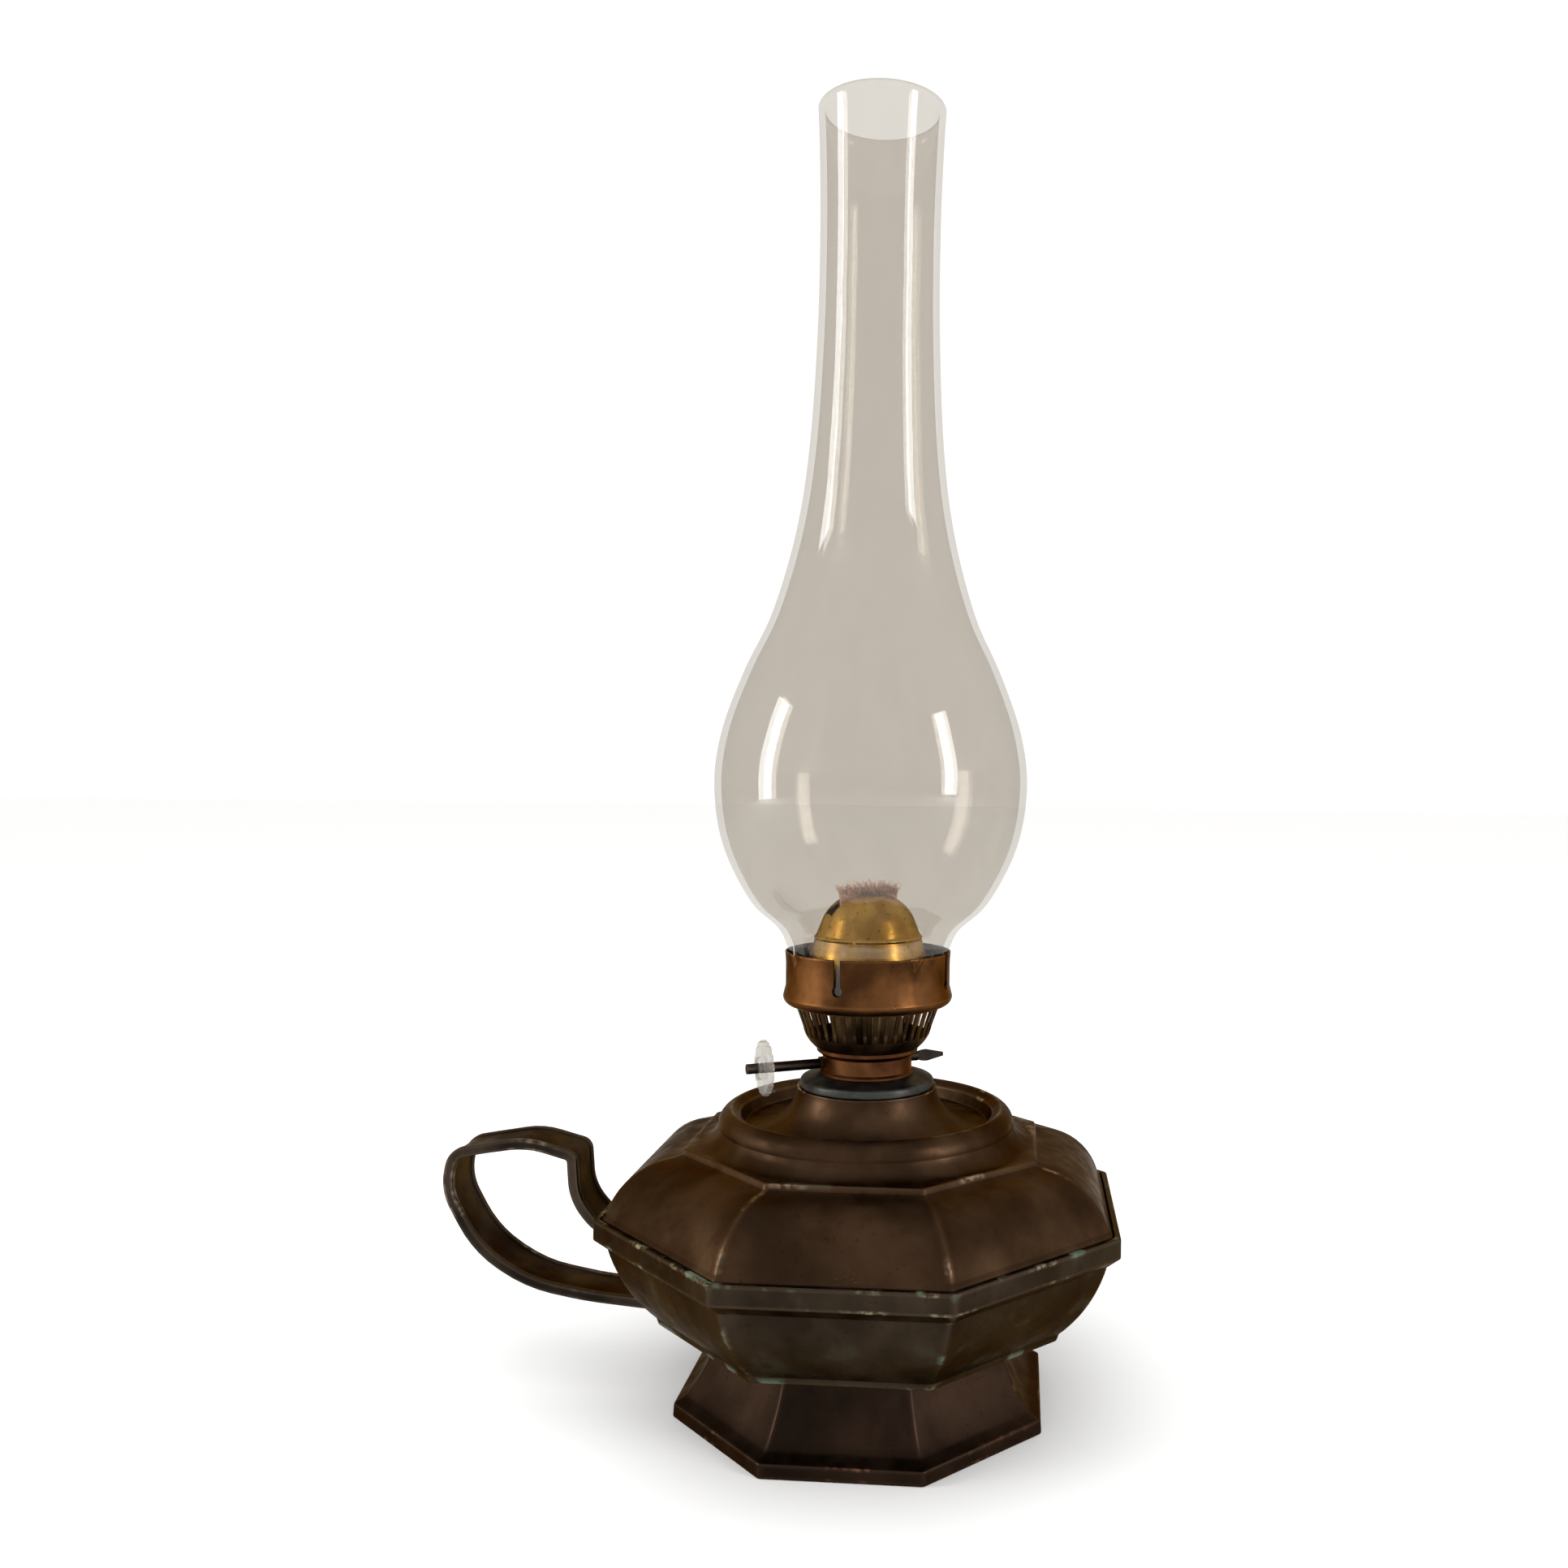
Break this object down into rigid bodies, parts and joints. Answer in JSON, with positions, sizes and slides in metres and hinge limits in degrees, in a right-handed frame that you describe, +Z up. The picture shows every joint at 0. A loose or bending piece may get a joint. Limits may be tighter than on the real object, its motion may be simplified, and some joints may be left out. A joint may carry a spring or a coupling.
{
  "type": "oil hand lamp",
  "caption": "Octagonal metal oil hand lamp with a strap handle, a screwed flat-wick burner, a wick raiser wheel and a lift-off glass chimney.",
  "frame": {"origin": "centre of the foot's underside, on the lamp's upright axis, at the surface the lamp stands on", "axes": "+Z up the lamp's axis to the chimney's mouth, -X towards the handle, -Y towards the front flat of the octagon"},
  "size_m": [0.1479, 0.1084, 0.2824],
  "materials": {
    "foot_bronze": "dark reddish-brown bronze patina, worn to copper on the edges, satin",
    "bowl_bronze": "olive-brown bronze patina with verdigris at the corners, satin",
    "shoulder_bronze": "warm brown bronze patina, rubbed, satin",
    "strap_bronze": "grey-brown bronze patina, rubbed on the ribs, satin",
    "plate_steel": "plain rolled steel, dull",
    "base_felt": "pressed green felt",
    "fixing_steel": "zinc-plated steel, dulled",
    "collar_zinc": "blue-grey oxidised zinc, satin",
    "neck_copper": "polished-worn copper with brown tarnish",
    "inner_brass": "dull tarnished brass",
    "basket_brass": "dark brown tarnished brass",
    "gallery_copper": "copper-coloured tarnished brass, satin",
    "dome_brass": "yellow brass with black specks",
    "wick_cotton": "undyed woven cotton, frayed at the top",
    "spindle_steel": "dark tarnished steel wire",
    "knob_clear": "milky clear moulded wheel",
    "chimney_glass": "clear blown glass with a faint warm cast"
  },
  "bodies": {
    "lamp_base": {"foot": "foot_bronze", "base_plate": "plate_steel", "felt_pad": "base_felt", "tank_stud": "fixing_steel", "foot_washer": "fixing_steel", "foot_nut": "fixing_steel", "font_lower": "bowl_bronze", "font_upper": "shoulder_bronze", "handle": "strap_bronze", "collar": "collar_zinc"},
    "burner_screw": {"screw_sleeve": "inner_brass"},
    "burner": {"burner_neck": "neck_copper", "bush_near": "inner_brass", "bush_far": "inner_brass", "burner_floor": "inner_brass", "vent_tube": "inner_brass", "wick_tube": "inner_brass", "burner_basket": "basket_brass", "gallery": "gallery_copper", "diffuser": "inner_brass"},
    "wick_raiser": {"spindle": "spindle_steel", "sprocket_left": "inner_brass", "sprocket_right": "inner_brass", "wick_knob": "knob_clear"},
    "wick_strip": {"wick": "wick_cotton"},
    "dome": {"flame_dome": "dome_brass"},
    "glass": {"chimney": "chimney_glass"}
  },
  "joints": [
    {"name": "burner_rise", "type": "slide", "parent": "lamp_base", "child": "burner_screw", "axis": [0, 0, 1], "range_m": [0, 0.0054]},
    {"name": "burner_turn", "type": "hinge", "parent": "burner_screw", "child": "burner", "pos_m": [0, 0, 0.0703], "axis": [0, 0, 1], "range_deg": [0, 1080]},
    {"name": "wick_raiser_spin", "type": "hinge", "parent": "burner", "child": "wick_raiser", "pos_m": [-0.0018, 0.00346, 0.0719], "axis": [0.887, 0.4617, 0], "range_deg": [-89.2, 212.3]},
    {"name": "wick_slide", "type": "slide", "parent": "burner", "child": "wick_strip", "axis": [0, 0, 1], "range_m": [-0.01, 0.0042]},
    {"name": "dome_lift", "type": "slide", "parent": "burner", "child": "dome", "axis": [0, 0, 1], "range_m": [0, 0.014]},
    {"name": "chimney_lift", "type": "slide", "parent": "burner", "child": "glass", "axis": [0, 0, 1], "range_m": [0, 0.045]}
  ],
  "couplings": [
    {"joint": "burner_rise", "follows": "burner_turn", "m_per_rad": 0.00028648},
    {"joint": "wick_raiser_spin", "follows": "wick_slide", "rad_per_m": -370.37}
  ]
}
